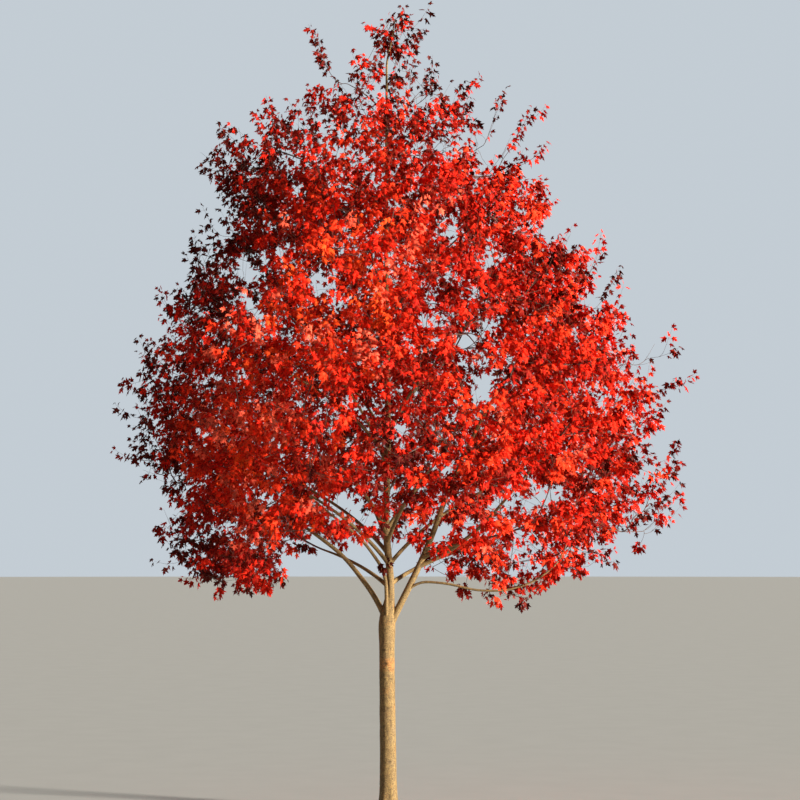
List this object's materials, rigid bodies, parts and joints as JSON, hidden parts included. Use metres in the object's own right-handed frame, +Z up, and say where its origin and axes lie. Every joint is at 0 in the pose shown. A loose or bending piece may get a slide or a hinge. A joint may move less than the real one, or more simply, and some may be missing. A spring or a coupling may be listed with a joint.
{
  "type": "maple tree",
  "caption": "Young deciduous tree with a straight trunk, low fork, ascending boughs and a round crown of red autumn leaves.",
  "frame": {"origin": "middle of the flat cut under the trunk, at ground level", "axes": "+Z up along the trunk, the side seen in the picture faces -Y, its right side lies towards +X"},
  "size_m": [7.008, 6.5812, 9.7],
  "materials": {
    "bark": "matt",
    "foliage": "matt"
  },
  "bodies": {
    "root": {"trunk": "bark", "bough_right_steep": "bark", "bough_right": "bark", "bough_right_low": "bark", "bough_left_low": "bark", "bough_front_left": "bark", "bough_skirt_back_right": "bark", "bough_skirt_back_left": "bark", "bough_skirt_front_right": "bark", "bough_low_right": "bark", "bough_low_back_right": "bark", "bough_low_back": "bark", "bough_low_back_left": "bark", "bough_low_left": "bark", "bough_low_front_left": "bark", "bough_low_front": "bark", "bough_middle_back_right": "bark", "bough_middle_back_left": "bark", "bough_middle_left": "bark", "bough_middle_front_left": "bark", "bough_middle_front_right": "bark", "foliage_skirt_right": "foliage", "foliage_skirt_back_right": "foliage", "foliage_skirt_back_left": "foliage", "foliage_skirt_left": "foliage", "foliage_skirt_front_left": "foliage", "foliage_skirt_front_right": "foliage", "foliage_low_right": "foliage", "foliage_low_back_right": "foliage", "foliage_low_back": "foliage", "foliage_low_back_left": "foliage", "foliage_low_left": "foliage", "foliage_low_front_left": "foliage", "foliage_low_front": "foliage", "foliage_low_front_right": "foliage", "foliage_heart_back_right": "foliage", "foliage_heart_left": "foliage", "foliage_heart_front_right": "foliage", "foliage_middle_right": "foliage", "foliage_middle_back_right": "foliage", "foliage_middle_back_left": "foliage", "foliage_middle_left": "foliage", "foliage_middle_front_left": "foliage", "foliage_middle_front_right": "foliage", "foliage_core_back_right": "foliage", "foliage_core_back_left": "foliage", "foliage_core_front": "foliage", "foliage_high_back_right": "foliage", "foliage_high_back": "foliage", "foliage_high_left": "foliage", "foliage_high_front": "foliage", "foliage_high_front_right": "foliage", "foliage_upper_right": "foliage", "foliage_upper_back": "foliage", "foliage_upper_left": "foliage", "foliage_upper_front": "foliage", "foliage_crest_right": "foliage", "foliage_crest_left": "foliage", "foliage_top": "foliage"}
  },
  "joints": []
}
